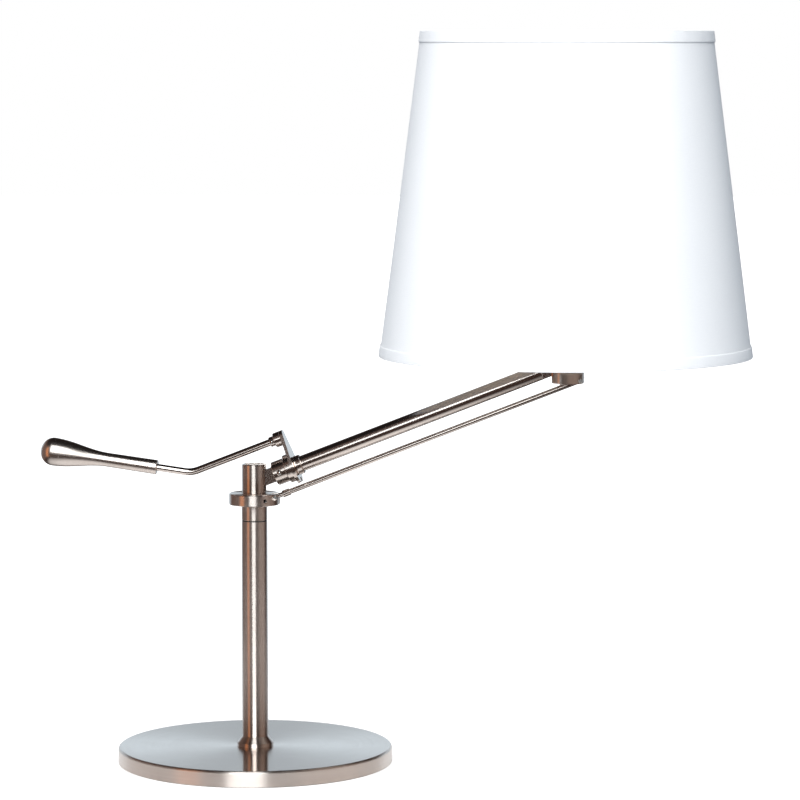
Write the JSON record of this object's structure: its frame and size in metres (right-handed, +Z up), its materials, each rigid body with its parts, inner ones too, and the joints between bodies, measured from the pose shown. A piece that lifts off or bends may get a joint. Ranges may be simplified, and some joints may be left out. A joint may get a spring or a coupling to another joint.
{
  "type": "balance-arm table lamp",
  "caption": "Table lamp with a round weighted base, swivel pole, counterbalanced parallel-link arm with rear handle, and a white tapered drum shade that stays level.",
  "frame": {"origin": "centre of the base's underside, on the table", "axes": "+Z up along the pole; +X along the arm towards the shade at rest; -Y towards the front"},
  "size_m": [0.658, 0.34, 0.6755],
  "materials": {
    "brushed_nickel": "satin, fine lengthwise and circular brushing",
    "plain_steel": "turned, semi-gloss",
    "black_nylon": "matte",
    "black_phenolic": "moulded, semi-gloss",
    "brass": "drawn, slightly dull",
    "white_wire": "enamelled white",
    "white_cloth": "fine plain-weave cloth on a stiff backing",
    "cast_iron": "as cast, painted",
    "felt": "pressed felt",
    "frosted_glass": "frosted inside"
  },
  "bodies": {
    "stand": {"base_cover": "brushed_nickel", "base_weight": "cast_iron", "felt_pad": "felt", "cord_grommet": "black_nylon", "base_washer": "plain_steel", "base_nut": "plain_steel", "pole_foot": "brushed_nickel", "pole_nipple": "brass", "pole_tube": "brushed_nickel", "swivel_spigot": "plain_steel", "swivel_washer": "black_nylon", "spring_washer": "plain_steel", "swivel_nut": "plain_steel"},
    "swivel": {"swivel_sleeve": "brushed_nickel", "pivot_ring": "brushed_nickel", "knuckle_post": "brushed_nickel", "ring_screw": "plain_steel", "arm_pin": "plain_steel", "arm_washers": "black_nylon", "near_stay_pin": "plain_steel"},
    "arm": {"near_tang": "brushed_nickel", "fork_boss": "brushed_nickel", "fork_screw": "plain_steel", "arm_collar": "brushed_nickel", "link_plate": "brushed_nickel", "arm_ferrule": "brushed_nickel", "arm_tube": "brushed_nickel", "far_tang": "brushed_nickel", "handle_boss": "brushed_nickel", "handle_screw": "plain_steel", "handle_rod": "brushed_nickel", "grip": "brushed_nickel"},
    "stay": {"stay_rod": "brushed_nickel", "stay_ferrule": "brushed_nickel"},
    "head": {"head_post": "brushed_nickel", "head_plate": "brushed_nickel", "plate_screw": "plain_steel", "head_pin": "plain_steel", "head_washers": "black_nylon", "far_stay_pin": "plain_steel", "head_nipple": "brass", "socket_cap": "brushed_nickel", "socket_shell": "brushed_nickel", "socket_insulator": "black_phenolic", "screw_shell": "brass", "centre_contact": "brass", "bulb_base": "brass", "bulb_glass": "frosted_glass", "seat_ring": "brushed_nickel", "fitter_ring": "white_wire", "shade_nut": "brushed_nickel", "shade_spokes": "white_wire", "bottom_ring": "white_wire", "top_ring": "white_wire", "shade_fabric": "white_cloth", "bottom_trim": "white_cloth", "top_trim": "white_cloth"},
    "switch": {"switch_stem": "plain_steel", "switch_knob": "black_phenolic"}
  },
  "joints": [
    {"name": "pole_swivel", "type": "hinge", "parent": "stand", "child": "swivel", "pos_m": [0, 0, 0.225], "axis": [0, 0, 1], "range_deg": [-170, 170]},
    {"name": "arm_tilt", "type": "hinge", "parent": "swivel", "child": "arm", "pos_m": [0, 0, 0.2613], "axis": [0, -1, 0], "range_deg": [-16, 20]},
    {"name": "stay_tilt", "type": "hinge", "parent": "swivel", "child": "stay", "pos_m": [0.0206, 0, 0.2478], "axis": [0, -1, 0], "range_deg": [-16, 20]},
    {"name": "head_level", "type": "hinge", "parent": "arm", "child": "head", "pos_m": [0.28126, 0, 0.37266], "axis": [0, -1, 0], "range_deg": [-20, 16]},
    {"name": "switch_turn", "type": "hinge", "parent": "head", "child": "switch", "pos_m": [0.28726, -0.02, 0.40756], "axis": [0, -1, 0], "continuous": true}
  ],
  "couplings": [
    {"joint": "stay_tilt", "follows": "arm_tilt", "ratio": 1},
    {"joint": "head_level", "follows": "arm_tilt", "ratio": -1}
  ]
}
